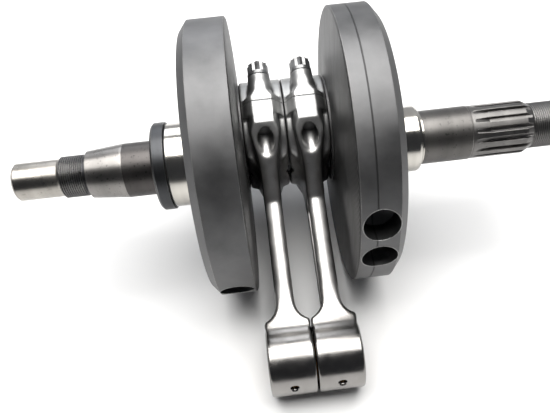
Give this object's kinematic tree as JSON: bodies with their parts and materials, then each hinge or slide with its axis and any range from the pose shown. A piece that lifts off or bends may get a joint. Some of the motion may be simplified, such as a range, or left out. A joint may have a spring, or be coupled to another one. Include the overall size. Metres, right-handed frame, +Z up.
{
  "type": "crankshaft",
  "caption": "V-twin engine crankshaft with disc webs and side-by-side connecting rods on one crankpin, with splined and tapered shaft ends.",
  "frame": {"origin": "on the crank axis at the middle of the right main journal", "axes": "+X along the crank axis towards the splined end, +Z up from the plane that the webs and small ends rest on, rods lie towards -Y"},
  "size_m": [0.2677, 0.1669, 0.13],
  "materials": {
    "forged_crank": "satin grey forging with ground journals and shafts",
    "polished_rod": "polished steel",
    "black_steel": "dark oiled steel",
    "bronze": "bored bronze",
    "bearing_metal": "soft bearing overlay"
  },
  "bodies": {
    "crank": {"crankshaft": "forged_crank", "crankpin_plug_left": "black_steel", "crankpin_plug_right": "black_steel", "rotor_key": "black_steel"},
    "rod_left": {"rod_left_body": "polished_rod", "rod_left_cap": "polished_rod", "rod_left_shell_rod_side": "bearing_metal", "rod_left_shell_cap_side": "bearing_metal", "rod_left_bush": "bronze", "rod_left_bolt_front": "black_steel", "rod_left_bolt_rear": "black_steel", "rod_left_dowel_front": "black_steel", "rod_left_dowel_rear": "black_steel"},
    "rod_right": {"rod_right_body": "polished_rod", "rod_right_cap": "polished_rod", "rod_right_shell_rod_side": "bearing_metal", "rod_right_shell_cap_side": "bearing_metal", "rod_right_bush": "bronze", "rod_right_bolt_front": "black_steel", "rod_right_bolt_rear": "black_steel", "rod_right_dowel_front": "black_steel", "rod_right_dowel_rear": "black_steel"}
  },
  "joints": [
    {"name": "rod_left_swing", "type": "hinge", "parent": "crank", "child": "rod_left", "pos_m": [-0.0528, 0.03159, -0.01673], "axis": [1, 0, 0], "continuous": true},
    {"name": "rod_right_swing", "type": "hinge", "parent": "crank", "child": "rod_right", "pos_m": [-0.0528, 0.03159, -0.01673], "axis": [1, 0, 0], "continuous": true}
  ]
}
